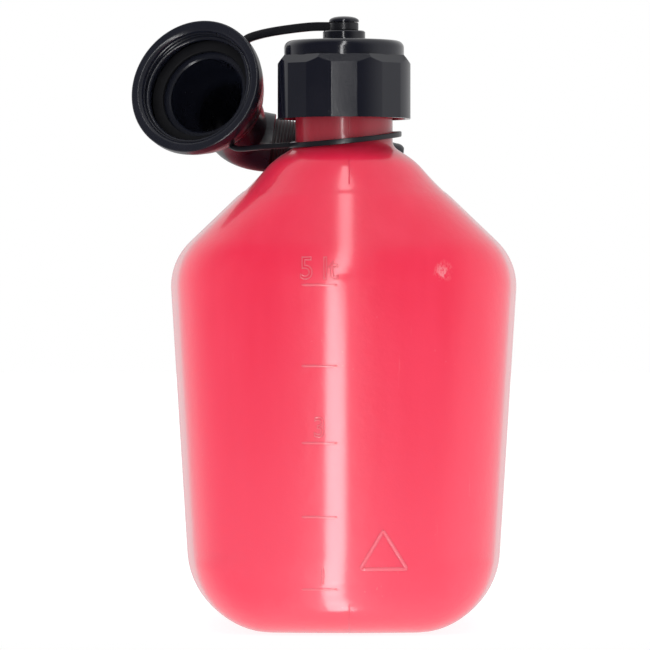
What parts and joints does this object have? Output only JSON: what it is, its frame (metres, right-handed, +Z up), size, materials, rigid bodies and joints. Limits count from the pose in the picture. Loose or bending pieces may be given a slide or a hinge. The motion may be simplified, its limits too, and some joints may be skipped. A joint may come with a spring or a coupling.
{
  "type": "jerry can",
  "caption": "Small blow-moulded fuel can with a carrying handle, flat-gripped screw cap, retainer strap and a pouring spout stowed through the handle.",
  "frame": {"origin": "centre of the base on the ground, on the mould parting plane, midway along the length", "axes": "+Z up along the neck, +Y from the neck end towards the rear, +X to the right seen from the neck end"},
  "size_m": [0.1624, 0.2652, 0.2547],
  "materials": {
    "can_plastic": "translucent red polyethylene, satin",
    "cap_plastic": "glossy black",
    "spout_plastic": "satin black",
    "hose_plastic": "satin black, finely ribbed",
    "strap_plastic": "satin black, flexible",
    "seal_rubber": "matte"
  },
  "bodies": {
    "can": {"can_body": "can_plastic"},
    "cap_seal": {"cap_gasket": "seal_rubber"},
    "cap": {"screw_cap": "cap_plastic"},
    "spout": {"strap_upper_band": "strap_plastic", "strap_lower_band": "strap_plastic", "strap_neck_loop": "strap_plastic", "strap_spout_ring": "strap_plastic", "spout_gasket": "seal_rubber", "spout_socket": "spout_plastic", "spout_hose": "hose_plastic", "spout_nozzle": "spout_plastic"},
    "strap_end": {"strap_cap_ring": "strap_plastic"},
    "collar": {"spout_collar": "spout_plastic"}
  },
  "joints": [
    {"name": "cap_lift", "type": "slide", "parent": "can", "child": "cap_seal", "axis": [0, 0, 1], "range_m": [0, 0.0121]},
    {"name": "cap_turn", "type": "hinge", "parent": "cap_seal", "child": "cap", "pos_m": [0, -0.074, 0.23], "axis": [0, 0, 1], "range_deg": [0, 720]},
    {"name": "spout_swing", "type": "hinge", "parent": "can", "child": "spout", "pos_m": [0, -0.074, 0.2], "axis": [0, 0, 1], "range_deg": [-4, 8]},
    {"name": "ring_lift", "type": "slide", "parent": "spout", "child": "strap_end", "axis": [0, 0, 1], "range_m": [0, 0.0121], "deforming": ["strap_upper_band"]},
    {"name": "collar_turn", "type": "hinge", "parent": "spout", "child": "collar", "pos_m": [-0.0625, -0.06, 0.2266], "axis": [0.3794, 0.8787, -0.2896], "continuous": true}
  ],
  "couplings": [
    {"joint": "cap_lift", "follows": "cap_turn", "m_per_rad": 0.00095493},
    {"joint": "ring_lift", "follows": "cap_turn", "m_per_rad": 0.00095493}
  ]
}
